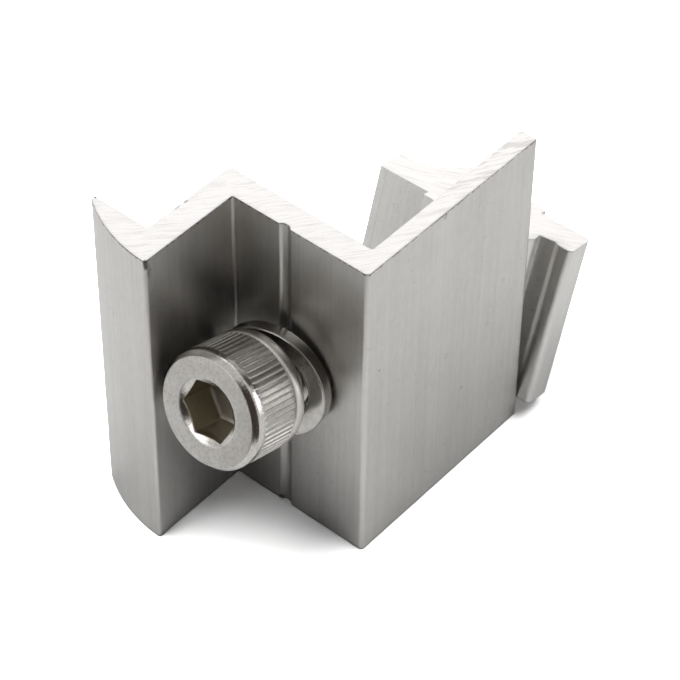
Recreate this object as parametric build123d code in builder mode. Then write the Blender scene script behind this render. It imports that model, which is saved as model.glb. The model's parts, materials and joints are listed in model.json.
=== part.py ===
"""Solar end clamp: sawn aluminium clamp, M8 socket head screw, spring washer and rail nut.

The clamp stands on its lower sawn end, with +Z along the extrusion and +X along the long leg.
The origin is under the centre of the screw hole, in the middle of the plate's thickness.
The hardware is loose: the screw leans in its hole about as far as the clearance lets it.
"""

import os
from math import cos, radians, sin, sqrt

from build123d import *

# Clamp section: lengths in millimetres, angles in degrees
extrusion_length = 40.0
clamped_height = 35.1
plate_wall = 3.0
leg_wall = 2.0
leg_reach = 10.2
step_wall = 3.0
step_reach = 7.1
lip_drop = 8.9
lip_root = 3.6
lip_tip = 0.5
lip_reach = 7.0
outer_round = 0.45
inner_round = 0.25
edge_round = 0.3

# Drilling groove and screw hole in the plate
groove_width = 1.4
groove_depth = 0.4
groove_offset = 0.3
hole_diameter = 9.0
hole_height = 19.8

# Socket head screw
thread_diameter = 7.85
thread_chamfer = 0.9
screw_length = 35.0
head_diameter = 12.8
head_height = 7.7
head_bevel_height = 0.8
head_bevel_inset = 0.35
knurl_length = 6.1
knurl_grooves = 64
knurl_depth = 0.15
knurl_relief = 0.2
collar_diameter = 12.7
collar_chamfer = 0.3
socket_width = 6.0
socket_depth = 4.2
socket_mouth = 7.2
socket_mouth_angle = 120.0
socket_turn = 9.3

# How the loose screw lies in its hole
screw_lean_angle = 15.0
screw_skew_angle = 0.9
head_standoff = 4.55

# Spring washer: one split, slightly sprung turn
washer_bore = 9.0
washer_band = 2.0
washer_thickness = 1.5
washer_spring = 0.4
washer_split_angle = 8.0
washer_split_turn = 180.0
washer_lean_angle = 5.0
washer_skew_angle = -9.5
washer_standoff = 2.25

# Rail nut: two staggered flanges, a boss between them and a tapped hole
nut_length = 20.0
nut_width = 23.3
nut_thickness = 9.3
nut_boss_front = 4.9
nut_boss_back = 5.4
nut_flange_step = 0.85
nut_flange_fall = 0.4
nut_flange_inside = 0.2
nut_tip_lean = 0.35
nut_ramp_foot = 9.3
nut_ledge_start = 8.3
nut_ledge_end = 7.7
nut_ledge_height = 1.1
nut_pad_end = 9.95
nut_notch_bottom = 9.3
nut_notch_depth = 0.25
nut_recess_end = 7.5
nut_recess_rise = 0.2
nut_round = 0.25
nut_tip_round = 0.6
nut_bore_chamfer = 0.4
nut_behind_leg = 3.65
nut_roll_angle = 0.7
thread_clearance = 0.05

# Places in the clamp's section, measured from the hole's centre line
plate_front = -plate_wall / 2
plate_back = plate_wall / 2
leg_outer = -leg_reach
leg_inner = leg_outer + leg_wall
step_front = step_reach
step_back = step_reach + step_wall
lip_under = plate_front - lip_drop
lip_outer = lip_under - lip_root
lip_end = step_back + lip_reach
foot_end = lip_under + clamped_height
hole_centre = Vector(0, 0, hole_height)


def leaning_plane(origin, lean, skew):
    """A plane that faces away from the plate's front, its x axis level."""
    normal = Vector(
        -cos(radians(lean)) * cos(radians(skew)),
        cos(radians(lean)) * sin(radians(skew)),
        sin(radians(lean)),
    )
    return Plane(origin=origin, x_dir=Vector(0, 0, 1).cross(normal), z_dir=normal)


def nearest(vertices, *points):
    """The vertices of a sketch on the XY plane that lie at the given points."""
    return [vertices.sort_by_distance((x, y, 0))[0] for x, y in points]


# Clamp: one extruded section, with a hooked lip, a stepped plate and a long leg
with BuildPart() as clamp_body:
    with BuildSketch(Plane.XY) as section:
        with BuildLine():
            Polyline(
                (lip_outer, step_front),
                (plate_front, step_front),
                (plate_front, leg_outer),
                (foot_end, leg_outer),
                (foot_end, leg_inner),
                (plate_back, leg_inner),
                (plate_back, step_back),
                (lip_under, step_back),
                (lip_under, lip_end),
                (lip_under - lip_tip, lip_end),
            )
            TangentArc(
                (lip_outer, step_front), (lip_under - lip_tip, lip_end), tangent=(0, 1)
            )
        make_face()
        round_corners = nearest(
            section.vertices(), (plate_front, leg_outer), (plate_back, step_back)
        )
        fillet(round_corners, outer_round)
        fillet(nearest(section.vertices(), (plate_front, step_front)), inner_round)
        small_corners = nearest(
            section.vertices(),
            (lip_outer, step_front),
            (foot_end, leg_inner),
            (plate_back, leg_inner),
            (lip_under, step_back),
        )
        fillet(small_corners, edge_round)
        # A shallow round groove down the plate's front marks where to drill
        groove_radius = (groove_width**2 / 4 + groove_depth**2) / (2 * groove_depth)
        with Locations((plate_front + groove_depth - groove_radius, groove_offset)):
            Circle(groove_radius, mode=Mode.SUBTRACT)
    extrude(amount=extrusion_length)
    with BuildSketch(Plane(origin=hole_centre, x_dir=(0, 1, 0), z_dir=(1, 0, 0))):
        Circle(hole_diameter / 2)
    extrude(amount=plate_wall, both=True, mode=Mode.SUBTRACT)
clamp_body.part.label = "clamp_body"

# Places along the screw, measured from the hole's centre towards the head
screw_plane = leaning_plane(hole_centre, screw_lean_angle, screw_skew_angle)
screw_axis = Axis(screw_plane.origin, screw_plane.z_dir)
plate_exit = plate_wall / 2 / cos(radians(screw_lean_angle))
head_seat = plate_exit + head_standoff
head_face = head_seat + head_height
knurl_end = head_face - knurl_length
thread_end = head_seat - screw_length
head_radius = head_diameter / 2
collar_radius = collar_diameter / 2
thread_radius = thread_diameter / 2

# A plane through the screw's axis: x is the radius, y runs along the axis to the head
profile_plane = Plane(
    origin=screw_plane.origin, x_dir=screw_plane.x_dir, z_dir=-screw_plane.y_dir
)

# Screw: a knurled head with a plain collar, a hexagon socket and a plain thread core
with BuildPart() as cap_screw:
    with BuildSketch(screw_plane.offset(knurl_end)):
        Circle(head_radius)
        with PolarLocations(head_radius, knurl_grooves):
            Rectangle(
                knurl_depth * sqrt(2),
                knurl_depth * sqrt(2),
                rotation=45,
                mode=Mode.SUBTRACT,
            )
    extrude(amount=knurl_length)
    with BuildSketch(profile_plane):
        with BuildLine():
            Polyline(
                (0, knurl_end),
                (head_radius, knurl_end),
                (head_radius, head_face - head_bevel_height),
                (head_radius - head_bevel_inset, head_face),
                (0, head_face),
                close=True,
            )
        make_face()
    revolve(axis=screw_axis, mode=Mode.INTERSECT)
    with BuildSketch(profile_plane):
        with BuildLine():
            Polyline(
                (0, knurl_end),
                (head_radius - knurl_depth, knurl_end),
                (collar_radius, knurl_end - knurl_relief),
                (collar_radius, head_seat + collar_chamfer),
                (collar_radius - collar_chamfer, head_seat),
                (thread_radius, head_seat),
                (thread_radius, thread_end + thread_chamfer),
                (thread_radius - thread_chamfer, thread_end),
                (0, thread_end),
                close=True,
            )
        make_face()
    revolve(axis=screw_axis)
    with BuildSketch(screw_plane.offset(head_face)):
        RegularPolygon(
            socket_width / 2, 6, major_radius=False, rotation=socket_turn
        )
    extrude(amount=-socket_depth, mode=Mode.SUBTRACT)
    with Locations(screw_plane.offset(head_face).location):
        CounterSinkHole(
            socket_width / 4,
            socket_mouth / 2,
            depth=socket_depth,
            counter_sink_angle=socket_mouth_angle,
        )
cap_screw.part.label = "cap_screw"

# Spring washer: a square band swept along one turn of a flat helix
washer_radius = washer_bore / 2 + washer_band / 2
washer_turn = 1 - washer_split_angle / 360
with BuildPart() as washer_blank:
    with BuildLine() as coil:
        Helix(washer_spring, washer_spring * washer_turn, washer_radius, lefthand=True)
    with BuildSketch(Plane(origin=coil.line @ 0, x_dir=(1, 0, 0), z_dir=coil.line % 0)):
        Rectangle(washer_band, washer_thickness)
    sweep(path=coil.line, is_frenet=True)

washer_plane = leaning_plane(
    hole_centre + screw_plane.z_dir * (plate_exit + washer_standoff),
    washer_lean_angle,
    washer_skew_angle,
)
split_place = Location((0, 0, -washer_spring / 2), (0, 0, washer_split_turn))
with BuildPart() as spring_washer:
    add(washer_blank.part.moved(washer_plane.location * split_place))
spring_washer.part.label = "spring_washer"

# Rail nut: one flange lies towards the clamp, the other one away from it
nut_centre = hole_centre - screw_plane.z_dir * (foot_end + nut_behind_leg)
nut_up = screw_plane.y_dir.rotate(Axis((0, 0, 0), screw_plane.z_dir), -nut_roll_angle)
nut_plane = Plane(
    origin=nut_centre - nut_up * (nut_length / 2),
    x_dir=nut_up.cross(screw_plane.z_dir),
    z_dir=nut_up,
)
nut_tip = nut_width / 2
boss_face = nut_thickness / 2
flange_face = boss_face - nut_flange_step
near_flange = [
    (-nut_boss_front, -boss_face),
    (-nut_boss_front, -flange_face),
    (nut_tip_lean - nut_tip, -flange_face - nut_flange_fall),
    (-nut_tip, -nut_flange_inside),
    (-nut_ramp_foot, -nut_flange_inside),
    (-nut_ledge_start, nut_ledge_height - nut_flange_inside),
    (-nut_ledge_end, nut_ledge_height),
    (-nut_boss_back, boss_face),
]
far_flange = [
    (nut_boss_front, boss_face),
    (nut_boss_front, flange_face),
    (nut_tip - nut_tip_lean, flange_face + nut_flange_fall),
    (nut_tip, nut_flange_inside),
    (nut_pad_end, nut_flange_inside),
    (nut_notch_bottom, nut_flange_inside + nut_notch_depth),
    (nut_recess_end, nut_flange_inside - nut_recess_rise),
    (nut_ledge_end, -nut_ledge_height),
    (nut_boss_back, -boss_face),
]
with BuildPart() as rail_nut:
    with BuildSketch(nut_plane) as nut_section:
        with BuildLine():
            Polyline(*near_flange, *far_flange, close=True)
        make_face()
        inner_tips = [
            nut_section.vertices().sort_by_distance(nut_plane.from_local_coords(tip))[0]
            for tip in ((nut_tip, nut_flange_inside, 0), (-nut_tip, -nut_flange_inside, 0))
        ]
        small_corners = nut_section.vertices() - inner_tips
        fillet(inner_tips, nut_tip_round)
        fillet(small_corners, nut_round)
    extrude(amount=nut_length)
    with BuildSketch(Plane(nut_centre, x_dir=screw_plane.x_dir, z_dir=screw_plane.z_dir)):
        Circle(thread_radius + thread_clearance)
    extrude(amount=nut_thickness, both=True, mode=Mode.SUBTRACT)
    bore_rims = rail_nut.edges().filter_by(GeomType.CIRCLE).sort_by(SortBy.RADIUS)[-2:]
    chamfer(bore_rims, nut_bore_chamfer)
rail_nut.part.label = "rail_nut"

os.makedirs("parts", exist_ok=True)
export_step(clamp_body.part, "parts/clamp_body.step")
export_step(cap_screw.part, "parts/cap_screw.step")
export_step(spring_washer.part, "parts/spring_washer.step")
export_step(rail_nut.part, "parts/rail_nut.step")
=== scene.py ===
"""Looks of a solar end clamp: sawn mill-finish aluminium, a bright socket head screw,
a spring washer and a rail nut, standing on a white table.
"""

import json
from math import cos, pi, radians, sin, sqrt, tan
from typing import NamedTuple

import bpy
import numpy as np
from bpy.props import FloatProperty, FloatVectorProperty, IntProperty, PointerProperty
from mathutils import Matrix, Vector


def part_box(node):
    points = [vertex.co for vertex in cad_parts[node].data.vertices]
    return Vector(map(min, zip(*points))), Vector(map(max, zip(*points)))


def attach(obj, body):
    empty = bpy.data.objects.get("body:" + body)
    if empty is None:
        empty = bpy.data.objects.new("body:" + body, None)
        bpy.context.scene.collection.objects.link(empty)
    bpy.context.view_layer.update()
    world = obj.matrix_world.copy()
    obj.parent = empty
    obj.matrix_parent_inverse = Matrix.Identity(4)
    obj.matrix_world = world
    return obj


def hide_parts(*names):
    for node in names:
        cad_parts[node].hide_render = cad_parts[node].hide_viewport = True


bl_info = {
    "name": "Solar end clamp",
    "version": (1, 0, 0),
    "blender": (4, 5, 0),
    "location": "3D View > Sidebar > End Clamp",
    "description": "Builds the visible pieces and finishes of a solar end clamp",
    "category": "Object",
}

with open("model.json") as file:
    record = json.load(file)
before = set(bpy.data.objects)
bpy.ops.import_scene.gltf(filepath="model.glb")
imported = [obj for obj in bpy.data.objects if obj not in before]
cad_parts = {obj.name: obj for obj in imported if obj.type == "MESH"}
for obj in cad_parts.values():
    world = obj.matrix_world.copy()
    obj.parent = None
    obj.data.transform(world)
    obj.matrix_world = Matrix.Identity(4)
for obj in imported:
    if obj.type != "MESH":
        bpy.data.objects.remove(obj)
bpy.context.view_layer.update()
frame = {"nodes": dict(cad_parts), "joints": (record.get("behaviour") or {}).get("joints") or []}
MM = 0.001


class ScrewSettings(bpy.types.PropertyGroup):
    """M8 socket head screw."""

    head_diameter: FloatProperty(
        name="Head diameter", description="Across the tips of the knurl", default=0.0128, unit="LENGTH")
    head_height: FloatProperty(
        name="Head height", description="From seat to face", default=0.0077, unit="LENGTH")
    standoff: FloatProperty(
        name="Standoff", description="Gap between plate and head along the screw",
        default=0.00455, unit="LENGTH")
    length: FloatProperty(
        name="Length", description="Shank below the head", default=0.035, unit="LENGTH")
    socket_width: FloatProperty(
        name="Socket width", description="Across the flats of the hexagon",
        default=0.006, unit="LENGTH")
    socket_depth: FloatProperty(
        name="Socket depth", description="From face to floor", default=0.0042, unit="LENGTH")
    socket_mouth: FloatProperty(
        name="Socket mouth", description="Diameter of the countersink", default=0.0075, unit="LENGTH")
    socket_turn: FloatProperty(
        name="Socket turn", description="Angle of a corner of the hexagon",
        default=radians(9.3), unit="ROTATION")
    thread_diameter: FloatProperty(
        name="Thread diameter", description="Across the crests", default=0.00785, unit="LENGTH")
    thread_pitch: FloatProperty(
        name="Thread pitch", description="Travel in one turn", default=0.00125, unit="LENGTH")
    knurl_grooves: IntProperty(
        name="Knurl grooves", description="Number of grooves round the head",
        default=64, subtype="UNSIGNED")
    knurl_depth: FloatProperty(
        name="Knurl depth", description="Depth of a groove", default=0.00012, unit="LENGTH")


class WasherSettings(bpy.types.PropertyGroup):
    """Split spring washer."""

    bore: FloatProperty(name="Bore", description="Inside diameter", default=0.009, unit="LENGTH")
    band: FloatProperty(name="Band", description="Width of the ring", default=0.002, unit="LENGTH")
    thickness: FloatProperty(
        name="Thickness", description="Thickness of the ring", default=0.0015, unit="LENGTH")
    spring: FloatProperty(
        name="Spring", description="Rise in one whole turn", default=0.0004, unit="LENGTH")
    split: FloatProperty(
        name="Split", description="Angle that is cut out", default=radians(8), unit="ROTATION")
    lean: FloatProperty(
        name="Lean", description="Tilt of the ring from upright", default=radians(5), unit="ROTATION")
    skew: FloatProperty(
        name="Skew", description="Turn of the ring about the vertical",
        default=radians(-9.5), unit="ROTATION")
    standoff: FloatProperty(
        name="Standoff", description="Gap between plate and the ring's middle",
        default=0.00225, unit="LENGTH")


class FinishSettings(bpy.types.PropertyGroup):
    """Colours and roughness of the metals."""

    side_colour: FloatVectorProperty(
        name="Side colour", description="Satin sides of the clamp",
        default=(0.58, 0.57, 0.55), subtype="COLOR")
    nut_side_colour: FloatVectorProperty(
        name="Nut side colour", description="Satin sides of the rail nut",
        default=(0.66, 0.65, 0.63), subtype="COLOR")
    side_roughness: FloatProperty(
        name="Side roughness", description="Roughness of the satin sides",
        default=0.34, subtype="FACTOR")
    line_contrast: FloatProperty(
        name="Line contrast", description="Strength of the fine lines along the extrusion",
        default=0.26, subtype="FACTOR")
    sawn_colour: FloatVectorProperty(
        name="Sawn colour", description="Sawn ends of the aluminium",
        default=(0.86, 0.845, 0.83), subtype="COLOR")
    saw_contrast: FloatProperty(
        name="Saw contrast", description="Strength of the saw's streaks", default=0.7, subtype="FACTOR")
    streak_colour: FloatVectorProperty(
        name="Streak colour", description="Scratches of the saw",
        default=(0.62, 0.59, 0.58), subtype="COLOR")
    bright_colour: FloatVectorProperty(
        name="Bright steel", description="Polished steel of the screw",
        default=(0.60, 0.582, 0.555), subtype="COLOR")
    face_colour: FloatVectorProperty(
        name="Face steel", description="Bare face of the head",
        default=(0.57, 0.555, 0.53), subtype="COLOR")
    socket_colour: FloatVectorProperty(
        name="Socket brown", description="Oily walls of the socket",
        default=(0.52, 0.475, 0.355), subtype="COLOR")
    washer_colour: FloatVectorProperty(
        name="Washer steel", description="Spring washer", default=(0.52, 0.505, 0.48), subtype="COLOR")


class StageSettings(bpy.types.PropertyGroup):
    """Camera, floor, lamps and cards."""

    azimuth: FloatProperty(
        name="Azimuth", description="Direction that the camera looks from, 0 looks along +Y",
        default=radians(-50.2375), unit="ROTATION")
    elevation: FloatProperty(
        name="Elevation", description="Height of the camera over the horizon",
        default=radians(45.1117), unit="ROTATION")
    roll: FloatProperty(
        name="Roll", description="Turn of the picture round its centre",
        default=radians(0.861), unit="ROTATION")
    distance: FloatProperty(
        name="Distance", description="From the camera to the point that it aims at",
        default=0.281235, unit="LENGTH")
    aim: FloatVectorProperty(
        name="Aim", description="Point in the middle of the picture",
        default=(0.00623, -0.00040, 0.01909), subtype="XYZ", unit="LENGTH")
    lens: FloatProperty(
        name="Lens", description="Focal length on a 36 mm sensor", default=144.06, unit="CAMERA")
    floor_brightness: FloatProperty(
        name="Floor brightness", description="How much light the table gives back",
        default=0.60, subtype="FACTOR")
    floor_seen: FloatProperty(
        name="Floor as seen", description="How bright the table looks to the camera",
        default=2.2, subtype="FACTOR")
    floor_mirrored: FloatProperty(
        name="Floor as mirrored", description="How bright the table looks in the metal",
        default=0.82, subtype="FACTOR")
    sky: FloatProperty(
        name="Sky", description="Soft light from all round", default=0.10, subtype="FACTOR")
    lamp_size: FloatProperty(
        name="Lamp size", description="Side of each lamp", default=0.5, unit="LENGTH")
    left_lamp_place: FloatVectorProperty(
        name="Left lamp", description="Middle of the large soft lamp on the left",
        default=(-0.24, 0.22, 0.78), subtype="XYZ", unit="LENGTH")
    left_lamp_power: FloatProperty(
        name="Left lamp power", description="Power of the left lamp", default=5.2, unit="POWER")
    right_lamp_place: FloatVectorProperty(
        name="Right lamp", description="Middle of the large soft lamp on the right",
        default=(0.22, -0.22, 0.78), subtype="XYZ", unit="LENGTH")
    right_lamp_power: FloatProperty(
        name="Right lamp power", description="Power of the right lamp", default=3.8, unit="POWER")
    dark_card_reach: FloatProperty(
        name="Dark card reach", description="From the head to the dark cards in front",
        default=0.05, unit="LENGTH")
    dark_card_height: FloatProperty(
        name="Dark card height", description="Height of the tall dark card",
        default=0.11, unit="LENGTH")
    dark_card_colour: FloatVectorProperty(
        name="Dark card colour", description="Brown dark of the room in front",
        default=(0.07, 0.055, 0.048), subtype="COLOR")
    card_brightness: FloatProperty(
        name="Card brightness", description="How bright the two side cards look in the metal",
        default=2.4, subtype="FACTOR")
    back_brightness: FloatProperty(
        name="Back brightness", description="How bright the card behind looks in the metal",
        default=1.6, subtype="FACTOR")


def unit(vector):
    """The vector at a length of one."""
    return np.asarray(vector) / np.linalg.norm(vector)


# The hole's centre and the screw's line, and how far along that line the plate's face lies
TURN = next(joint for joint in frame["joints"] if joint["name"] == "screw_turn")
HOLE = np.array(TURN["pos_m"])
ALONG = unit(TURN["axis"])
LEVEL = unit(np.cross((0, 0, 1), ALONG))
ACROSS = np.cross(ALONG, LEVEL)
PLATE_WALL = 3.0 * MM
PLATE_EXIT = PLATE_WALL / 2 / sqrt(1 - ALONG[2] ** 2)

# Rows of the head where it is round, in mm: inside the radius in question, below the face
BRIM = ((0.0, 0.012), (-0.03, 0.003), (-0.07, 0.0))
RIM = (
    (0.53, 0.014), (0.51, 0.022), (0.485, 0.038), (0.455, 0.064), (0.27, 0.284), (0.085, 0.505),
    (0.055, 0.55), (0.03, 0.61), (0.012, 0.69), (0.0, 0.80), (0.0, 0.92), (0.0, 1.04),
)
COLLAR = (
    (0.14, 6.06), (0.20, 6.10), (0.22, 6.15), (0.20, 6.20), (0.12, 6.27), (0.06, 6.36), (0.02, 6.48),
    (0.0, 6.65), (0.0, 6.95), (0.02, 7.15), (0.07, 7.33), (0.15, 7.50), (0.25, 7.62), (0.38, 7.69),
    (0.5, 7.70),
)
# Rows of the knurl: mm below the face, share of the grooves' depth
KNURL = (
    (1.2, 0.0), (1.3, 0.10), (1.45, 0.35), (1.62, 0.65), (1.85, 0.92), (2.3, 1.0),
    (3.0, 1.0), (3.8, 1.0), (4.6, 1.0), (5.4, 1.0), (5.9, 1.0), (6.02, 1.0),
)
COUNTERSINK_SLOPE = tan(radians(30))
FACE_INSET = 0.55 * MM
COLLAR_INSET = 0.05 * MM
FLOOR_DISH = 0.12 * MM
RIDGE_POWER = 11
POINTS_PER_GROOVE = 12

# A sixty degree thread, in pitches: its depth, half its crest and half its root
THREAD_DEPTH = 5 / 8 * sqrt(3) / 2
HALF_CREST = 1 / 16
HALF_ROOT = 1 / 8
THREAD_COLUMNS = 96
ROWS_PER_PITCH = 12
SHANK_START = 0.25 * MM
NUT_THREAD_ROWS = 92

# Rail nut, measured from its middle on the screw's line
NUT_STANDOFF = 28.35 * MM
NUT_THICKNESS = 9.3 * MM
NUT_LENGTH = 20.0 * MM
NUT_ROLL = radians(0.7)
BORE_RADIUS = 3.975 * MM
BORE_CHAMFER = 0.4 * MM

# Dark marks: centre, half sizes (mm) and darkness. The clamp's, dents, stains and nicks, are in its own
# frame; the nut's, a broad faint darkening of its top end, across, away and along its section.
CLAMP_MARKS = (
    ((-10.5, 17.05, 40.0), (0.16, 0.34, 0.3), 0.9),
    ((-10.4, 15.9, 40.0), (0.12, 0.16, 0.2), 0.4),
    ((-5.1, 9.95, 40.0), (0.35, 0.16, 0.2), 0.6),
    ((-6.3, 10.0, 40.0), (0.55, 0.14, 0.2), 0.45),
    ((-13.9, 7.05, 39.5), (0.45, 0.42, 1.1), 0.85),
    ((-13.5, 6.9, 38.4), (0.60, 0.40, 1.7), 0.45),
    ((-13.9, 12.55, 23.98), (0.2, 0.12, 0.16), 0.5),
    ((-13.9, 13.0, 25.3), (0.2, 0.12, 0.2), 0.35),
    ((-13.9, 10.47, 15.03), (0.3, 0.7, 0.9), 0.10),
    ((0.59, -10.3, 25.54), (0.17, 0.3, 0.2), 0.9),
    ((14.51, -10.3, 12.18), (0.15, 0.3, 0.45), 0.55),
    ((10.2, -10.3, 39.4), (0.5, 0.2, 0.35), 0.5),
    ((-1.5, 1.0, 0.35), (0.4, 0.55, 0.4), 0.6),
    ((24.7, -8.5, 40.0), (0.16, 0.45, 0.2), 0.6),
)
NUT_MARKS = (
    # A broad faint darkening of the nut's top end
    ((9.5, 2.5, 20.0), (4.0, 5.0, 0.5), 0.16),
)


class Section(NamedTuple):
    """An extruded piece's own frame and, in mm, its length, the saw's middle, where along the
    first coordinate the saw's strong marks grow, how dark the painted shadow line under its sawn
    edges is, and its marks."""

    origin: tuple
    across: tuple
    away: tuple
    along: tuple
    length: float
    saw_centre: tuple
    strong_cut: tuple
    burr_shadow_darkness: float
    marks: tuple


def put_mesh(name, points, faces, attributes=None):
    """An object with a smooth mesh, and one number per point for each named attribute."""
    mesh = bpy.data.meshes.new(name)
    mesh.from_pydata(points, [], faces)
    mesh.shade_smooth()
    for label, values in (attributes or {}).items():
        layer = mesh.attributes.new(label, "FLOAT", "POINT")
        layer.data.foreach_set("value", np.asarray(values, dtype=np.float32).ravel())
    piece = bpy.data.objects.new(name, mesh)
    bpy.context.collection.objects.link(piece)
    return piece


def set_material(piece, material):
    """Gives the whole piece one material."""
    piece.data.materials.clear()
    piece.data.materials.append(material)


def loft_faces(rows, columns, first=0, closed=True):
    """Four-sided faces of a grid whose points are numbered row by row from the first. A closed
    grid joins its last column to its first."""
    steps = np.arange(columns if closed else columns - 1)
    row, column = np.meshgrid(np.arange(rows - 1), steps, indexing="ij")
    here = row * columns
    after = (column + 1) % columns
    corners = (here + column, here + after, here + columns + after, here + columns + column)
    return first + np.stack(corners, axis=-1).reshape(-1, 4)


def fan_faces(ring, pole, turned=False):
    """Triangles from a pole to each side of a closed ring of point numbers."""
    following = np.roll(ring, -1)
    pair = (following, ring) if turned else (ring, following)
    return np.stack((np.full(len(ring), pole), *pair), axis=-1)


def tube_faces(rows, columns, first, pole, turned=False):
    """Faces of a lofted tube that a fan closes at each end: its points start at the number
    first, its two poles at the number pole."""
    ring = first + np.arange(columns)
    sides = loft_faces(rows, columns, first)
    start = fan_faces(ring, pole, not turned)
    end = fan_faces(ring + (rows - 1) * columns, pole + 1, turned)
    return [*(sides[:, ::-1] if turned else sides).tolist(), *start.tolist(), *end.tolist()]


def full_turn(count):
    """Evenly spaced angles round a circle."""
    return np.arange(count) * 2 * pi / count


def on_screw(radius, angle, height):
    """Points at a radius and angle round the screw's line, and a height along it."""
    return (
        HOLE
        + (radius * np.cos(angle))[..., None] * LEVEL
        + (radius * np.sin(angle))[..., None] * ACROSS
        + height[..., None] * ALONG
    )


def hexagon_radius(angle, turn, width):
    """Distance from the centre to a regular hexagon's side: half its width over the cosine of
    the angle to the nearest side's middle, its corners eased off at 98.5 % of their reach."""
    to_side = np.mod(angle - turn, pi / 3) - pi / 6
    reach = width / 2 / np.cos(to_side)
    corner = width / sqrt(3) * 0.985
    sharpness = 40 / MM
    return -np.logaddexp(-reach * sharpness, -corner * sharpness) / sharpness


def round_rows(radius, steps):
    """Round rows of the head from their insets and drops in mm."""
    return [(radius - inset * MM, -drop * MM) for inset, drop in steps]


def socket_rows(s, hexagon):
    """A slightly dished floor, a small corner, the walls, then the countersink's cone."""
    mouth = s.socket_mouth / 2
    cone_foot = -(mouth - hexagon) * COUNTERSINK_SLOPE
    rows = []
    for share, lift in ((0.3, -0.10), (0.8, -0.03), (0.97, 0.0), (0.997, 0.08)):
        rows.append((hexagon * share, lift * MM - s.socket_depth))
    for share in (0.12, 0.5, 0.92, 1.0):
        rows.append((hexagon, (1 - share) * -s.socket_depth + share * cone_foot))
    for share in (0.06, 0.5, 0.94):
        radius = hexagon + (mouth - hexagon) * share
        rows.append((radius, -(mouth - radius) * COUNTERSINK_SLOPE))
    return rows


def face_rows(s):
    """Bare face, with a very slight fall towards the rim."""
    mouth = s.socket_mouth / 2
    width = s.head_diameter / 2 - FACE_INSET - mouth
    steps = ((0.3, 0.0), (0.6, 0.002), (0.85, 0.006), (0.97, 0.012))
    return [(mouth + width * share, -drop * MM) for share, drop in steps]


def knurl_rows(s, angle):
    """Knurl whose grooves deepen over their first millimetre. A ridge is a cosine raised to a
    power, so ridges are narrow and grooves wide."""
    phase = np.cos(s.knurl_grooves * (angle - s.socket_turn))
    valley = 1 - ((1 + phase) / 2) ** RIDGE_POWER
    outer = s.head_diameter / 2
    return [(outer - s.knurl_depth * valley * share, -drop * MM) for drop, share in KNURL]


def head_surface(s, angle):
    """Radius of the head and height over its face, row by row: up the socket, over the face,
    down the bevelled rim, the knurl and the rounded collar, and in under the seat."""
    outer = s.head_diameter / 2
    rows = [
        *socket_rows(s, hexagon_radius(angle, s.socket_turn, s.socket_width)),
        *round_rows(s.socket_mouth / 2, BRIM),
        *face_rows(s),
        *round_rows(outer, RIM),
        *knurl_rows(s, angle),
        *round_rows(outer - COLLAR_INSET, COLLAR),
        (s.thread_diameter / 2 + 0.3 * MM, -s.head_height),
        (1.0 * MM, -s.head_height),
    ]
    return (
        np.stack([np.broadcast_to(value, angle.shape) for value in column])
        for column in zip(*rows)
    )


def thread_radius(offset, crest, depth):
    """Radius of a sixty degree thread as a function of the offset from a crest's middle, in
    pitches: a flat crest, straight flanks and a flat root."""
    away = np.abs(np.mod(offset + 0.5, 1.0) - 0.5)
    flank = np.clip((away - HALF_CREST) / (0.5 - HALF_CREST - HALF_ROOT), 0, 1)
    return crest - depth * flank


def screw_thread(s, seat, angles):
    """Radius and height of the shank, a helical thread that fades in under the head and ends in
    a bevel: the offset from a crest is the height over the pitch less the angle over a turn."""
    end = seat - s.length
    crest = s.thread_diameter / 2
    count = int(s.length / s.thread_pitch * ROWS_PER_PITCH)
    height = np.linspace(seat + SHANK_START, end, count)[:, None] + np.zeros((1, len(angles)))
    offset = height / s.thread_pitch - angles / (2 * pi)
    radius = thread_radius(offset, crest, THREAD_DEPTH * s.thread_pitch)
    plain_length, fade_length = 0.6 * MM, 1.0 * MM
    share = np.clip((seat - plain_length - height) / fade_length, 0, 1)
    plain = crest - 0.12 * MM
    tip = crest - 0.9 * MM + (height - end)
    return np.minimum(plain + (radius - plain) * share, tip), height


def screw_mesh(s):
    """The head and the shank, two closed shells: points, faces, and for each point its radius
    and its height over the face in mm. The columns crowd where a ridge's sides are steep."""
    seat = PLATE_EXIT + s.standoff
    face = seat + s.head_height
    columns = s.knurl_grooves * POINTS_PER_GROOVE
    step = full_turn(columns)
    angle = s.socket_turn + step - 0.5 * np.sin(s.knurl_grooves * step) / s.knurl_grooves
    radius, height = head_surface(s, angle)
    turns = full_turn(THREAD_COLUMNS)
    shank_radius, shank_height = screw_thread(s, seat, turns)
    floor = face - s.socket_depth - FLOOR_DISH
    poles = HOLE + np.outer((floor, seat, seat + SHANK_START, seat - s.length), ALONG)
    points = np.concatenate((
        on_screw(radius, angle, height + face).reshape(-1, 3),
        on_screw(shank_radius, turns, shank_height).reshape(-1, 3),
        poles,
    ))
    pole = len(points) - len(poles)
    faces = tube_faces(len(radius), columns, 0, pole, True)
    faces += tube_faces(len(shank_radius), THREAD_COLUMNS, radius.size, pole + 2, True)
    at_poles = np.zeros(len(poles))
    radial = np.concatenate((radius.ravel(), shank_radius.ravel(), at_poles)) / MM
    axial = np.concatenate((height.ravel(), shank_height.ravel() - face, at_poles)) / MM
    return points.tolist(), faces, {"radial": radial, "axial": axial}


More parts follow.
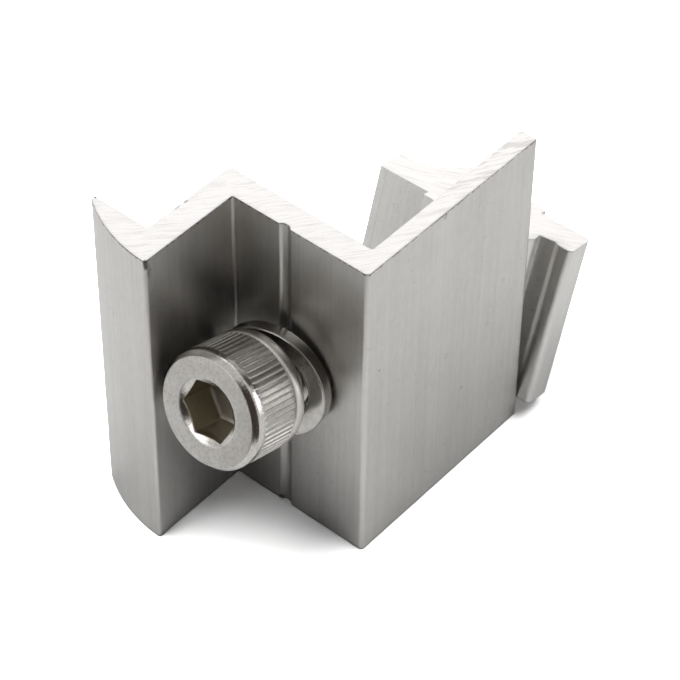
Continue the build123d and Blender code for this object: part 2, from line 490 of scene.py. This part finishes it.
def nut_thread_mesh(s):
    """A threaded sleeve in the nut's bore: the thread, which fades out towards both ends, and
    two rows inside the nut's metal that join its ends."""
    angles = full_turn(THREAD_COLUMNS)
    half = NUT_THICKNESS / 2 - BORE_CHAMFER
    rise = np.linspace(half, -half, NUT_THREAD_ROWS)[:, None]
    height = rise - NUT_STANDOFF + np.zeros((1, THREAD_COLUMNS))
    offset = height / s.thread_pitch - angles / (2 * pi)
    crest = s.thread_diameter / 2 + 0.08 * MM
    thread = thread_radius(offset, crest, THREAD_DEPTH * s.thread_pitch)
    fade_length = 0.35 * MM
    share = np.clip((half - np.abs(height + NUT_STANDOFF)) / fade_length, 0, 1)
    bore = BORE_RADIUS + 0.01 * MM
    inner = bore + (thread - bore) * share
    hidden = np.full((1, THREAD_COLUMNS), BORE_RADIUS + 0.15 * MM)
    radius = np.concatenate((inner, hidden, hidden))
    height = np.concatenate((height, height[-1:], height[:1]))
    points = on_screw(radius, angles, height).reshape(-1, 3)
    faces = loft_faces(len(radius) + 1, THREAD_COLUMNS) % len(points)
    return points.tolist(), faces.tolist()


def washer_mesh(s, centre, normal):
    """A rounded rectangle carried along a flat left-hand helix about its own centre and normal.
    Points and closed faces."""
    level = unit(np.cross((0, 0, 1), normal))
    upright = np.cross(normal, level)
    steps, sides, power = 200, 40, 2 / 9
    turn = np.linspace(0, 2 * pi - s.split, steps)[:, None]
    angle = pi - turn
    around = full_turn(sides)
    wide = s.band / 2 * np.sign(np.cos(around)) * np.abs(np.cos(around)) ** power
    tall = s.thickness / 2 * np.sign(np.sin(around)) * np.abs(np.sin(around)) ** power
    radius = s.bore / 2 + s.band / 2 + wide
    height = -s.spring / 2 + s.spring * turn / (2 * pi) + tall
    points = (
        centre
        + (radius * np.cos(angle))[..., None] * level
        + (radius * np.sin(angle))[..., None] * upright
        + height[..., None] * normal
    ).reshape(-1, 3)
    ends = np.stack((points[:sides].mean(axis=0), points[-sides:].mean(axis=0)))
    faces = tube_faces(steps, sides, 0, len(points))
    return np.concatenate((points, ends)).tolist(), faces


def curl_mesh(start, side, up, out, radius, wire, turns):
    """A curl of swarf: a thin tapering wire on a helix that turns from the side vector to the up
    vector and drifts outwards. Points and closed faces."""
    steps, sides = 40, 8
    drift, end_share = 2.2 * wire, 0.15
    angle = np.linspace(0, 2 * pi * turns, steps)
    spoke = np.outer(np.cos(angle), side) + np.outer(np.sin(angle), up)
    middle = np.asarray(start) + radius * spoke + np.outer(angle / (2 * pi) * drift, out)
    around = full_turn(sides)
    taper = (wire * np.sqrt(np.linspace(1.0, end_share, steps)))[:, None, None]
    edge = np.cos(around)[:, None] * spoke[:, None, :] + np.sin(around)[:, None] * np.asarray(out)
    points = (middle[:, None, :] + taper * edge).reshape(-1, 3)
    ends = np.stack((middle[0], middle[-1]))
    faces = tube_faces(steps, sides, 0, len(points), True)
    return np.concatenate((points, ends)).tolist(), faces


class Net:
    """The node tree of a new material, or of the surroundings."""

    def __init__(self, owner):
        """Starts an empty tree in the owner, or in a new material of that name."""
        self.owner = bpy.data.materials.new(owner) if isinstance(owner, str) else owner
        self.owner.use_nodes = True
        self.tree = self.owner.node_tree
        self.tree.nodes.clear()

    def feed(self, socket, value):
        """Links a node's output to the socket, or sets the socket's own value."""
        if isinstance(value, bpy.types.NodeSocket):
            self.tree.links.new(value, socket)
        elif socket.type == "RGBA":
            socket.default_value = (*value[:3], 1.0)
        else:
            socket.default_value = value

    def add(self, kind, values=None, **settings):
        """A new shader node with its settings and its inputs, named or numbered."""
        node = self.tree.nodes.new("ShaderNode" + kind)
        for setting, value in settings.items():
            setattr(node, setting, value)
        for socket, value in (values or {}).items():
            self.feed(node.inputs[socket], value)
        return node

    def math(self, operation, first, second=0.0, clamp=False):
        """A number worked out from one or two others."""
        values = {0: first, 1: second}
        return self.add("Math", values, operation=operation, use_clamp=clamp).outputs[0]

    def product(self, first, *others):
        """The numbers multiplied together."""
        for other in others:
            first = self.math("MULTIPLY", first, other)
        return first

    def sway(self, base, pattern, amount):
        """The base moved up and down by a pattern that lies about one half."""
        return self.math("ADD", base, self.product(self.math("SUBTRACT", pattern, 0.5), amount))

    def vector(self, operation, first, second=(0.0, 0.0, 0.0)):
        """A vector, or a number, worked out from one or two vectors."""
        node = self.add("VectorMath", {0: first, 1: second}, operation=operation)
        number = operation in ("DOT_PRODUCT", "LENGTH")
        return node.outputs["Value" if number else "Vector"]

    def scale(self, vector, factor):
        """A vector or colour times a number."""
        node = self.add("VectorMath", {0: vector, "Scale": factor}, operation="SCALE")
        return node.outputs["Vector"]

    def combine(self, x, y, z):
        """A vector from three numbers."""
        return self.add("CombineXYZ", {"X": x, "Y": y, "Z": z}).outputs[0]

    def object_place(self):
        """Object coordinates in metres."""
        return self.add("TexCoord").outputs["Object"]

    def millimetres(self):
        """Object coordinates in millimetres."""
        return self.vector("MULTIPLY", self.object_place(), (1 / MM, 1 / MM, 1 / MM))

    def spread(self, value, low, high, first=0.0, last=1.0, smooth=True):
        """The value's place between low and high, brought to first..last and held there."""
        kind = "SMOOTHSTEP" if smooth else "LINEAR"
        values = {0: value, 1: low, 2: high, 3: first, 4: last}
        return self.add("MapRange", values, interpolation_type=kind, clamp=True).outputs[0]

    def noise(self, place, scale, detail=2.0, roughness=0.5):
        """Noise between 0 and 1."""
        values = {"Vector": place, "Scale": scale, "Detail": detail, "Roughness": roughness}
        return self.add("TexNoise", values).outputs["Fac"]

    def stretched_noise(self, place, stretch, detail=2.0, roughness=0.5):
        """Noise whose scale differs along the three axes."""
        return self.noise(self.vector("MULTIPLY", place, stretch), 1.0, detail, roughness)

    def blend(self, share, low, high):
        """Two colours mixed by the share."""
        return self.add("Mix", {0: share, 6: low, 7: high}, data_type="RGBA").outputs[2]

    def mix(self, share, low, high):
        """Two surfaces mixed by the share."""
        return self.add("MixShader", {0: share, 1: low, 2: high}).outputs[0]

    def coat(self, colour, *coats):
        """A colour under further coats, each a share and a tint."""
        for share, tint in coats:
            colour = self.blend(share, colour, tint)
        return colour

    def plain_view(self):
        """Shares of what the camera sees straight and what it sees mirrored in metal."""
        path = self.add("LightPath").outputs
        sharp = self.math("LESS_THAN", path["Diffuse Depth"], 0.5)
        return path["Is Camera Ray"], self.product(path["Is Glossy Ray"], sharp)

    def bump(self, height, strength, distance, **normal):
        """A normal that leans with the height."""
        values = {"Strength": strength, "Distance": distance, "Height": height, **normal}
        return self.add("Bump", values).outputs[0]

    def metal(self, colour, rough, **normal):
        """Finishes the material as a metal."""
        values = {"Base Color": colour, "Metallic": 1.0, "Roughness": rough, **normal}
        return self.finish(self.add("BsdfPrincipled", values).outputs[0])

    def finish(self, surface, kind="OutputMaterial"):
        """Links the surface to the tree's output and gives back the tree's owner."""
        self.feed(self.add(kind).inputs["Surface"], surface)
        return self.owner


def grey(value, warmth=0.0):
    """A grey of that brightness, a little warmer where warmth is over zero."""
    return (value, value * (1 - 0.4 * warmth), value * (1 - warmth), 1.0)


def local_place(net, section):
    """Object coordinates in millimetres in a piece's own frame: three dot products."""
    shifted = net.vector("SUBTRACT", net.object_place(), tuple(section.origin))
    sides = (section.across, section.away, section.along)
    parts = [net.vector("DOT_PRODUCT", shifted, tuple(np.asarray(side) / MM)) for side in sides]
    return net.combine(*parts), parts


def spots(net, place, cells, share, size):
    """Small round marks, in the share of a Voronoi pattern's cells whose colour is low enough."""
    voronoi = net.add("TexVoronoi", {"Vector": place, "Scale": cells})
    red = net.vector("DOT_PRODUCT", voronoi.outputs["Color"], (1, 0, 0))
    near = net.spread(voronoi.outputs["Distance"], size * 0.4, size, 1.0, 0.0)
    return net.product(net.math("LESS_THAN", red, share), near)


def curly_scratches(net, place):
    """Thin curled scratches: where a noise crosses its middle value, in a few patches."""
    level = net.math("ABSOLUTE", net.math("SUBTRACT", net.noise(place, 0.55, 2.0, 0.6), 0.5))
    line = net.spread(level, 0.002, 0.008, 1.0, 0.0)
    elsewhere = net.vector("ADD", place, (31.0, 7.0, 3.0))
    patch = net.spread(net.noise(elsewhere, 0.16), 0.52, 0.60)
    broken = net.spread(net.noise(place, 1.4), 0.42, 0.55)
    return net.product(line, patch, broken)


def saw_streaks(net, place, centre, strong):
    """Arcs of a saw about its centre: noise drawn out along the arcs. Gives the share of fine
    scratches with broad steps where the cut is strong, and the grooves' height."""
    level = net.vector("MULTIPLY", net.vector("SUBTRACT", place, (*centre, 0.0)), (1, 1, 0))
    x, y = (net.vector("DOT_PRODUCT", level, side) for side in ((1, 0, 0), (0, 1, 0)))
    reach = net.vector("LENGTH", level)
    around = net.product(net.math("ARCTAN2", y, x), sqrt(centre[0] ** 2 + centre[1] ** 2))
    wander = net.product(net.noise(place, 0.15), 1.5)
    arc = net.combine(net.math("ADD", reach, wander), around, 0.0)
    fine = net.stretched_noise(arc, (5.5, 0.24, 1.0), 3.0, 0.62)
    broad = net.stretched_noise(arc, (1.6, 0.17, 1.0), 4.0, 0.65)
    scratch = net.spread(fine, 0.50, 0.66, 0.0, 0.6)
    step = net.product(net.spread(broad, 0.50, 0.60), strong)
    return net.math("ADD", scratch, step, clamp=True), net.math("ADD", fine, broad)


def burr_shadow_line(net, place, along, length):
    """Painted shadow of the burrs: a thin broken dark line on the sides just inside each
    sawn end.
    """
    depth = net.math("MINIMUM", along, net.math("SUBTRACT", length, along))
    ragged = net.noise(place, 2.2, 4.0, 0.75)
    uneven = net.spread(ragged, 0.35, 0.70, 0.0, 0.34, smooth=False)
    return net.spread(net.math("SUBTRACT", depth, uneven), -0.03, 0.05, 1.0, 0.0)


def side_tone(net, place, fine, contrast):
    """Brightness of the satin sides: fine and broad die lines, clouds and blotches."""
    tone = 1.0
    for pattern, amount in (
        (fine, contrast),
        (net.stretched_noise(place, (0.9, 0.9, 0.012)), 0.16),
        (net.noise(place, 0.16, 3.0), 0.10),
        (net.stretched_noise(place, (2.2, 2.2, 0.9), 3.0, 0.65), 0.16),
    ):
        tone = net.sway(tone, pattern, amount)
    return tone


def side_wear_and_shade(net, place, along, section):
    """Brightness that pits, specks and curled scratches leave on the sides, with the painted
    shadow line under the burrs at the sawn edges.
    """
    kept = 1.0
    for mark, darkness in (
        (spots(net, place, 0.42, 0.16, 0.055), 0.45),
        (spots(net, place, 1.1, 0.10, 0.10), 0.22),
        (burr_shadow_line(net, place, along, section.length), section.burr_shadow_darkness),
        (curly_scratches(net, place), 0.22),
    ):
        kept = net.product(kept, net.math("SUBTRACT", 1.0, net.product(mark, darkness)))
    return kept


def marked(net, place, colour, marks):
    """The colour under small dark marks, each an ellipsoid with a ragged edge."""
    ragged = net.product(net.noise(place, 4.0), 0.6)
    for centre, half_sizes, darkness in marks:
        away = net.vector("DIVIDE", net.vector("SUBTRACT", place, centre), half_sizes)
        reach = net.math("ADD", net.vector("LENGTH", away), ragged)
        share = net.spread(reach, 0.7, 1.25, darkness, 0.0)
        colour = net.blend(share, colour, grey(0.03, 0.2))
    return colour


def aluminium(name, s, side_colour, section):
    """Extruded aluminium: satin sides with fine lines along them, and two sawn ends, which are
    where the surface faces along the extrusion."""
    net = Net(name)
    place, (first, _, along) = local_place(net, section)
    facing = net.add("TexCoord").outputs["Normal"]
    end = net.math("ABSOLUTE", net.vector("DOT_PRODUCT", facing, tuple(section.along)))
    sawn = net.math("GREATER_THAN", end, 0.7)

    # Colour: satin sides, and ends of bright metal that is greyer in the saw's scratches
    fine = net.stretched_noise(place, (4.5, 4.5, 0.03), 3.0, 0.65)
    tone = side_tone(net, place, fine, s.line_contrast)
    # Pits, specks and scratches darken the sides, and so does a painted shadow line at each sawn edge
    wear_and_shade = side_wear_and_shade(net, place, along, section)
    side = net.scale(tuple(side_colour), net.product(tone, wear_and_shade))
    strong = net.spread(first, *section.strong_cut, 0.25, 1.0)
    streaks, grooves = saw_streaks(net, place, section.saw_centre, strong)
    grain = net.spread(net.noise(place, 6.0), 0.3, 0.7, 0.0, 0.25)
    share = net.product(net.math("ADD", streaks, grain), s.saw_contrast)
    cut = net.blend(share, tuple(s.sawn_colour), tuple(s.streak_colour))
    colour = marked(net, place, net.blend(sawn, side, cut), section.marks)

    # Relief: die lines on the sides, saw grooves on the ends, and eased edges
    rough = net.spread(sawn, 0.0, 1.0, s.side_roughness, 0.55, smooth=False)
    rough = net.sway(rough, fine, 0.10)
    relief = net.add("Mix", {0: sawn, 2: fine, 3: grooves}, data_type="FLOAT").outputs[0]
    eased = net.add("Bevel", {"Radius": 0.3 * MM}, samples=4).outputs[0]
    strength = net.spread(sawn, 0.0, 1.0, 0.12, 0.35, smooth=False)
    return net.metal(colour, rough, Normal=net.bump(relief, strength, 0.03 * MM, Normal=eased))


def screw_zones(net):
    """Shares of the screw's zones, from the radius and the height (mm) kept on its points."""
    radial, axial = (
        net.add("Attribute", attribute_name=label).outputs["Fac"]
        for label in ("radial", "axial")
    )
    in_head = net.math("GREATER_THAN", axial, -7.75)
    on_shank = net.math("LESS_THAN", axial, -7.72)
    above_collar = net.math("GREATER_THAN", axial, -6.15)
    near_line = net.math("LESS_THAN", radial, 3.5)
    socket = net.product(near_line, net.spread(axial, -0.45, -0.30, 1.0, 0.0), in_head)
    knurl = net.product(net.spread(axial, -1.5, -1.1, 1.0, 0.0), above_collar)
    return {
        "face": net.spread(axial, -0.10, -0.03),
        "socket": socket,
        "floor": net.product(socket, net.spread(axial, -4.12, -4.02, 1.0, 0.0)),
        "knurl": knurl,
        "groove": net.product(knurl, net.spread(radial, 6.26, 6.37, 1.0, 0.0)),
        "collar": net.product(net.math("LESS_THAN", axial, -6.15), in_head),
        "root": net.product(on_shank, net.spread(radial, 3.3, 3.8, 1.0, 0.0)),
    }


def steel(name, s):
    """Bright steel of the screw: a satin face with pits, a polished rim, a knurl with painted shade
    in its grooves, a satin collar, an oily brown socket and painted shade in the thread's roots."""
    net = Net(name)
    place = net.millimetres()
    zone = screw_zones(net)
    cloud = net.noise(place, 0.9, 4.0, 0.6)
    mottle = net.noise(place, 3.2, 4.0, 0.7)
    grain = net.noise(place, 9.0, 3.0, 0.7)
    pits = net.product(spots(net, place, 1.9, 0.36, 0.15), zone["face"])
    dirt = net.spread(net.noise(place, 1.6, 4.0, 0.7), 0.62, 0.74)
    colour = net.coat(
        net.blend(zone["face"], tuple(s.bright_colour), tuple(s.face_colour)),
        (net.spread(cloud, 0.35, 0.65, 0.0, 0.22), grey(0.34, 0.12)),
        (net.spread(mottle, 0.42, 0.66, 0.0, 0.32), grey(0.25, 0.15)),
        (net.product(pits, 0.75), grey(0.07, 0.2)),
        # Painted shade darkens the knurl's grooves
        (net.product(zone["groove"], 0.34), grey(0.10, 0.15)),
        (net.product(zone["collar"], 0.6), grey(0.62, 0.08)),
        (net.product(zone["socket"], 0.85), tuple(s.socket_colour)),
        (net.product(zone["floor"], 0.85), grey(0.42, 0.08)),
        # Painted shade darkens the thread's roots
        (net.product(zone["root"], 0.5), grey(0.12, 0.15)),
        (net.product(dirt, 0.18), grey(0.12, 0.25)),
    )
    satin = net.math("ADD", net.math("ADD", zone["knurl"], zone["socket"]), zone["collar"])
    rough = net.spread(zone["face"], 0.0, 1.0, 0.14, 0.38, smooth=False)
    rough = net.math("ADD", rough, net.product(satin, 0.20))
    rough = net.sway(rough, mottle, 0.25)
    height = net.math("SUBTRACT", net.math("ADD", net.product(grain, 0.35), mottle), pits)
    return net.metal(colour, rough, Normal=net.bump(height, 0.5, 0.04 * MM))


def polished_steel(name, s, centre, normal, outer):
    """Polished steel of the washer: fine rings about its centre, and painted shade on the outer
    side, darkest in the middle of its width.
    """
    net = Net(name)
    place = net.object_place()
    shifted = net.vector("SUBTRACT", place, tuple(centre))
    height = net.vector("DOT_PRODUCT", shifted, tuple(normal / MM))
    reach = net.product(net.vector("LENGTH", shifted), 1 / MM)
    rings = net.noise(net.combine(net.product(reach, 6.0), net.product(height, 6.0), 0.0), 1.0, 3.0)
    cloud = net.noise(place, 900.0, 3.0)
    square = net.math("SUBTRACT", net.math("POWER", reach, 2.0), net.math("POWER", height, 2.0))
    # Painted shade darkens the ring's outer side all round, most in the middle of its width
    rim = net.spread(square, (outer / MM - 0.14) ** 2, (outer / MM - 0.05) ** 2)
    corner = net.product(rim, net.spread(net.math("ABSOLUTE", height), 0.50, 0.62, 1.0, 0.0))
    colour = net.coat(
        tuple(s.washer_colour),
        (net.spread(cloud, 0.4, 0.7, 0.0, 0.35), grey(0.30, 0.12)),
        (net.product(rim, 0.6), grey(0.20, 0.12)),
        (net.product(corner, 0.25), grey(0.16, 0.12)),
    )
    rough = net.math("ADD", 0.14, net.product(cloud, rings, 0.35))
    return net.metal(colour, rough, Normal=net.bump(rings, 0.25, 0.02 * MM))


def cut_metal(name):
    """Freshly cut aluminium of the thread and the burrs, with fine chatter marks."""
    net = Net(name)
    chatter = net.noise(net.millimetres(), 3.0, 3.0)
    colour = net.blend(net.spread(chatter, 0.4, 0.7), grey(0.62, 0.04), grey(0.45, 0.06))
    return net.metal(colour, net.math("ADD", 0.22, net.product(chatter, 0.2)))


def floor_material(s):
    """White table that keeps the shadows near the object and fades into the white surroundings
    far from it. The camera, the metal and spread light each see their own brightness."""
    net = Net("table_white")
    plain, seen, mirrored = (
        net.add("BsdfDiffuse", {"Color": grey(value)}).outputs[0]
        for value in (s.floor_brightness, s.floor_seen, s.floor_mirrored)
    )
    far = net.add("Emission", {"Color": grey(1.0)}).outputs[0]
    from_camera, from_metal = net.plain_view()
    fade = net.spread(net.vector("LENGTH", net.object_place()), 0.15, 0.4)
    faded = net.mix(fade, seen, far)
    return net.finish(net.mix(from_camera, net.mix(from_metal, plain, mirrored), faded))


def light_world(world, s):
    """White surroundings for the camera and for reflections, a soft even sky for the rest."""
    net = Net(world)
    white = net.math("MAXIMUM", *net.plain_view())
    strength = net.spread(white, 0.0, 1.0, s.sky, 1.0, smooth=False)
    background = net.add("Background", {"Strength": strength})
    net.finish(background.outputs[0], "OutputWorld")


def card_material(name, colour, brightness):
    """A card of the studio, as the metal mirrors it."""
    net = Net(name)
    shine = net.product(net.plain_view()[1], brightness)
    return net.finish(net.add("Emission", {"Color": colour, "Strength": shine}).outputs[0])


def add_floor(s):
    """The table's top, far wider than the picture."""
    half = 3.0
    corners = ((-half, -half, 0), (half, -half, 0), (half, half, 0), (-half, half, 0))
    floor = put_mesh("floor", corners, [(0, 1, 2, 3)])
    set_material(floor, floor_material(s))


def add_card(name, centre, reach, azimuths, heights, material):
    """An upright card, bent round the centre over azimuths in degrees, for the metal only."""
    columns = 25
    azimuth, height = np.meshgrid(np.linspace(*np.radians(azimuths), columns), heights)
    across = centre[0] + reach * np.sin(azimuth)
    away = centre[1] - reach * np.cos(azimuth)
    points = np.stack((across, away, height), axis=-1).reshape(-1, 3)
    card = put_mesh(name, points.tolist(), loft_faces(2, columns, closed=False).tolist())
    card.visible_camera = False
    card.visible_diffuse = False
    card.visible_shadow = False
    set_material(card, material)


def add_cards(s):
    """Dark cards in front of the head, white ones at the left, behind and at the right."""
    head = HOLE + ALONG * 10 * MM
    white = grey(1.0)
    near, dark = s.dark_card_reach, s.dark_card_colour
    for name, reach, azimuths, heights, colour, brightness in (
        ("dark_card", near, (-82, -18), (0, s.dark_card_height), dark, 1.0),
        ("low_card", near, (-106, -82), (0, 0.036), dark, 1.0),
        ("left_card", 0.3, (-130, -84), (0.07, 0.30), white, s.card_brightness),
        ("back_card", 0.35, (85, 175), (0.02, 0.8), white, s.back_brightness),
        ("right_card", 0.1, (30, 62), (0.018, 0.07), white, s.card_brightness),
    ):
        add_card(name, head, reach, azimuths, heights, card_material(name, colour, brightness))


def add_area(name, place, aim, size, power):
    """A soft square lamp that the metal doesn't mirror."""
    lamp = bpy.data.lights.new(name, "AREA")
    lamp.shape = "SQUARE"
    lamp.size = size
    lamp.energy = power
    obj = bpy.data.objects.new(name, lamp)
    obj.location = place
    obj.rotation_euler = (Vector(aim) - Vector(place)).to_track_quat("-Z", "Y").to_euler()
    obj.visible_glossy = False
    bpy.context.collection.objects.link(obj)


def add_camera(scene, s):
    """The camera, as fitted to the clamp's corners in the photograph."""
    camera = bpy.data.cameras.new("camera")
    camera.lens = s.lens
    camera.sensor_width = 36
    camera.clip_start = 0.01
    eye = bpy.data.objects.new("camera", camera)
    turn = Matrix.Rotation(s.azimuth, 4, "Z") @ Matrix.Rotation(pi / 2 - s.elevation, 4, "X")
    place = Matrix.Rotation(s.roll, 4, "Z") @ Matrix.Translation((0, 0, s.distance))
    eye.matrix_world = Matrix.Translation(s.aim) @ turn @ place
    bpy.context.collection.objects.link(eye)
    scene.camera = eye


class ENDCLAMP_OT_screw(bpy.types.Operator):
    """Build the screw: knurled head with its socket, and a threaded shank"""

    bl_idname = "endclamp.screw"
    bl_label = "Screw"

    def execute(self, context):
        piece = put_mesh("screw", *screw_mesh(context.scene.endclamp_screw))
        set_material(piece, steel("screw_steel", context.scene.endclamp_finish))
        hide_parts("cap_screw")
        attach(piece, "screw")
        return {"FINISHED"}


class ENDCLAMP_OT_nut_thread(bpy.types.Operator):
    """Build the thread inside the rail nut"""

    bl_idname = "endclamp.nut_thread"
    bl_label = "Nut thread"

    def execute(self, context):
        piece = put_mesh("nut_thread", *nut_thread_mesh(context.scene.endclamp_screw))
        set_material(piece, cut_metal("nut_thread"))
        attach(piece, "nut")
        return {"FINISHED"}


class ENDCLAMP_OT_washer(bpy.types.Operator):
    """Build the split spring washer"""

    bl_idname = "endclamp.washer"
    bl_label = "Spring washer"

    def execute(self, context):
        s = context.scene.endclamp_washer
        finish = context.scene.endclamp_finish
        centre = HOLE + ALONG * (PLATE_EXIT + s.standoff)
        normal = np.array((-cos(s.lean) * cos(s.skew), cos(s.lean) * sin(s.skew), sin(s.lean)))
        outer = s.bore / 2 + s.band
        piece = put_mesh("washer", *washer_mesh(s, centre, normal))
        set_material(piece, polished_steel("washer_steel", finish, centre, normal, outer))
        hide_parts("spring_washer")
        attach(piece, "clamp")
        return {"FINISHED"}


class ENDCLAMP_OT_clamp(bpy.types.Operator):
    """Finish the clamp's extrusion: satin sides and sawn ends"""

    bl_idname = "endclamp.clamp"
    bl_label = "Clamp finish"

    def execute(self, context):
        s = context.scene.endclamp_finish
        low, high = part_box("clamp_body")
        saw_way, saw_reach = radians(-36), 130.0
        section = Section(
            origin=(0, 0, 0), across=(1, 0, 0), away=(0, 1, 0), along=(0, 0, 1),
            length=(high[2] - low[2]) / MM,
            saw_centre=(-sin(saw_way) * saw_reach, cos(saw_way) * saw_reach),
            # Darkness of the painted shadow line under the clamp's sawn edges
            strong_cut=(4.0, 19.0), burr_shadow_darkness=0.62, marks=CLAMP_MARKS,
        )
        material = aluminium("clamp_aluminium", s, s.side_colour, section)
        set_material(frame["nodes"]["clamp_body"], material)
        return {"FINISHED"}


class ENDCLAMP_OT_burrs(bpy.types.Operator):
    """Build the two small burrs that hang on the clamp's sawn edges"""

    bl_idname = "endclamp.burrs"
    bl_label = "Saw burrs"

    def execute(self, context):
        low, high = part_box("clamp_body")
        wire, turns, up = 0.045 * MM, 1.3, (0, 0, 1)
        edge = (10.4 * MM, low[1] - wire * 0.4, high[2] - 0.24 * MM)
        groove = (-1.6 * MM, 0.9 * MM, 0.2 * MM)
        for name, start, side, out, radius in (
            ("edge_burr", edge, (1, 0, 0), (0, -1, 0), 0.19 * MM),
            ("groove_burr", groove, (0, -1, 0), (-1, 0, 0), 0.14 * MM),
        ):
            piece = put_mesh(name, *curl_mesh(start, side, up, out, radius, wire, turns))
            set_material(piece, cut_metal(name))
            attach(piece, "clamp")
        return {"FINISHED"}


class ENDCLAMP_OT_nut(bpy.types.Operator):
    """Finish the rail nut: satin sides and sawn ends"""

    bl_idname = "endclamp.nut"
    bl_label = "Nut finish"

    def execute(self, context):
        s = context.scene.endclamp_finish
        up = ACROSS * cos(NUT_ROLL) + LEVEL * sin(NUT_ROLL)
        section = Section(
            origin=HOLE - ALONG * NUT_STANDOFF - up * NUT_LENGTH / 2,
            across=np.cross(up, ALONG), away=ALONG, along=up, length=NUT_LENGTH / MM,
            # Darkness of the painted shadow line under the nut's sawn edges
            saw_centre=(-60.0, -90.0), strong_cut=(60.0, 160.0), burr_shadow_darkness=0.15,
            marks=NUT_MARKS,
        )
        material = aluminium("nut_aluminium", s, s.nut_side_colour, section)
        set_material(frame["nodes"]["rail_nut"], material)
        return {"FINISHED"}


class ENDCLAMP_OT_stage(bpy.types.Operator):
    """Build the floor, the lamps, the cards, the white surroundings and the camera"""

    bl_idname = "endclamp.stage"
    bl_label = "Stage"

    def execute(self, context):
        scene = context.scene
        s = scene.endclamp_stage
        add_floor(s)
        add_area("left_lamp", s.left_lamp_place, s.aim, s.lamp_size, s.left_lamp_power)
        add_area("right_lamp", s.right_lamp_place, s.aim, s.lamp_size, s.right_lamp_power)
        add_cards(s)
        scene.world = scene.world or bpy.data.worlds.new("surroundings")
        light_world(scene.world, s)
        add_camera(scene, s)
        scene.view_settings.view_transform = "Standard"
        return {"FINISHED"}


class ENDCLAMP_PT_panel(bpy.types.Panel):
    """The pieces, their settings and the stage, in the sidebar"""

    bl_idname = "ENDCLAMP_PT_panel"
    bl_label = "End Clamp"
    bl_space_type = "VIEW_3D"
    bl_region_type = "UI"
    bl_category = "End Clamp"

    def draw(self, context):
        """Lists each group of settings over its operators."""
        scene = context.scene
        for heading, settings, operators in (
            ("Screw", scene.endclamp_screw, ("screw", "nut_thread")),
            ("Washer", scene.endclamp_washer, ("washer",)),
            ("Aluminium", scene.endclamp_finish, ("clamp", "burrs", "nut")),
            ("Stage", scene.endclamp_stage, ("stage",)),
        ):
            box = self.layout.box()
            box.label(text=heading)
            for label in settings.__annotations__:
                box.prop(settings, label)
            for operator in operators:
                box.operator("endclamp." + operator)


CLASSES = (
    FinishSettings, ScrewSettings, WasherSettings, StageSettings,
    ENDCLAMP_OT_screw, ENDCLAMP_OT_nut_thread, ENDCLAMP_OT_washer, ENDCLAMP_OT_clamp,
    ENDCLAMP_OT_burrs, ENDCLAMP_OT_nut, ENDCLAMP_OT_stage, ENDCLAMP_PT_panel,
)


def register():
    """Registers the classes and puts the four groups of settings on the scene."""
    for item in CLASSES:
        bpy.utils.register_class(item)
    bpy.types.Scene.endclamp_finish = PointerProperty(type=FinishSettings)
    bpy.types.Scene.endclamp_screw = PointerProperty(type=ScrewSettings)
    bpy.types.Scene.endclamp_washer = PointerProperty(type=WasherSettings)
    bpy.types.Scene.endclamp_stage = PointerProperty(type=StageSettings)


def unregister():
    """Takes the settings off the scene and the classes out of Blender."""
    for label in ("finish", "screw", "washer", "stage"):
        delattr(bpy.types.Scene, "endclamp_" + label)
    for item in reversed(CLASSES):
        bpy.utils.unregister_class(item)


def main():
    """Builds every piece and the stage."""
    register()
    bpy.ops.endclamp.screw()
    bpy.ops.endclamp.nut_thread()
    bpy.ops.endclamp.washer()
    bpy.ops.endclamp.clamp()
    bpy.ops.endclamp.burrs()
    bpy.ops.endclamp.nut()
    bpy.ops.endclamp.stage()


if __name__ == "__main__":
    main()
